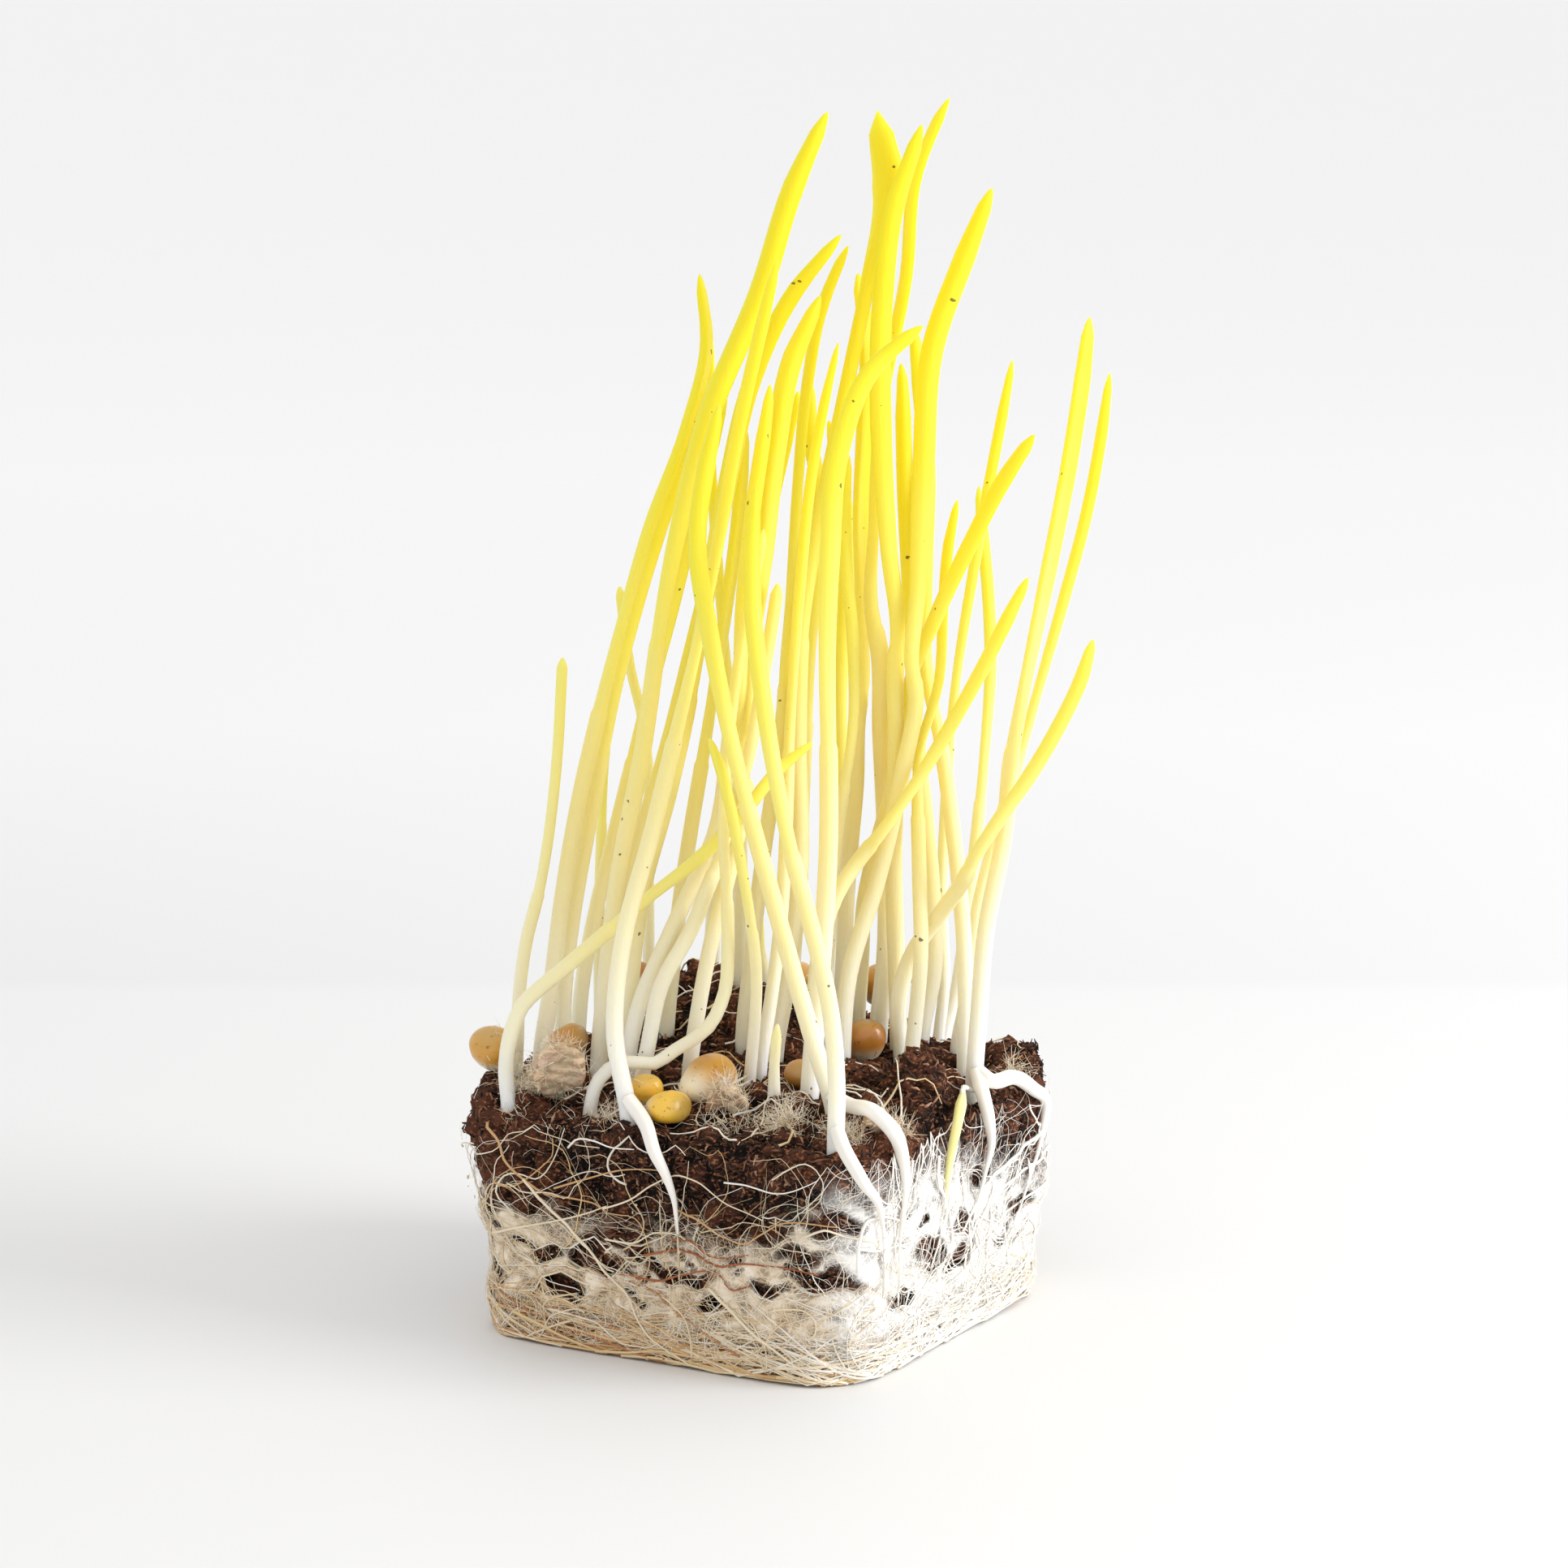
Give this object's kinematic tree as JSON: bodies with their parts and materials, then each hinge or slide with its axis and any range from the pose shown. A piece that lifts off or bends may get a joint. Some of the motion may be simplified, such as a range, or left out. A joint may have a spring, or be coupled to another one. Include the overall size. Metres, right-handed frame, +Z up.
{
  "type": "root-bound plug of popcorn shoots",
  "caption": "Square plug of dark soil held by a felt of pale roots, with split grains on top and a leaning tuft of white-stemmed yellow corn shoots.",
  "frame": {"origin": "middle of the plug's flat underside", "axes": "+Z up along the shoots, X and Y square to the plug's side faces"},
  "size_m": [0.0805, 0.0685, 0.175],
  "materials": {
    "soil": "matt crumbly dark brown soil with fibre",
    "roots": "matt cream root felt",
    "shoot": "satin, white at the foot to yellow at the tip",
    "grain": "smooth amber grain skin",
    "husk": "dry translucent husk"
  },
  "bodies": {
    "root": {"soil_plug": "soil", "root_mat": "roots", "shoot_01": "shoot", "shoot_02": "shoot", "shoot_03": "shoot", "shoot_04": "shoot", "shoot_05": "shoot", "shoot_06": "shoot", "shoot_07": "shoot", "shoot_08": "shoot", "shoot_09": "shoot", "shoot_10": "shoot", "shoot_11": "shoot", "shoot_12": "shoot", "shoot_13": "shoot", "shoot_14": "shoot", "shoot_15": "shoot", "shoot_16": "shoot", "shoot_17": "shoot", "shoot_18": "shoot", "shoot_19": "shoot", "shoot_20": "shoot", "shoot_21": "shoot", "shoot_22": "shoot", "shoot_23": "shoot", "shoot_24": "shoot", "shoot_25": "shoot", "shoot_26": "shoot", "shoot_27": "shoot", "shoot_28": "shoot", "shoot_29": "shoot", "shoot_30": "shoot", "shoot_31": "shoot", "shoot_32": "shoot", "shoot_33": "shoot", "shoot_34": "shoot", "shoot_35": "shoot", "shoot_36": "shoot", "shoot_37": "shoot", "shoot_38": "shoot", "shoot_39": "shoot", "shoot_40": "shoot", "shoot_41": "shoot", "shoot_42": "shoot", "shoot_43": "shoot", "shoot_44": "shoot", "grain_01": "grain", "grain_02": "grain", "grain_03": "grain", "grain_04": "grain", "grain_05": "grain", "grain_06": "grain", "grain_07": "grain", "grain_08": "grain", "grain_09": "grain", "grain_10": "grain", "husk_01": "husk", "husk_02": "husk", "husk_03": "husk", "husk_04": "husk"}
  },
  "joints": []
}
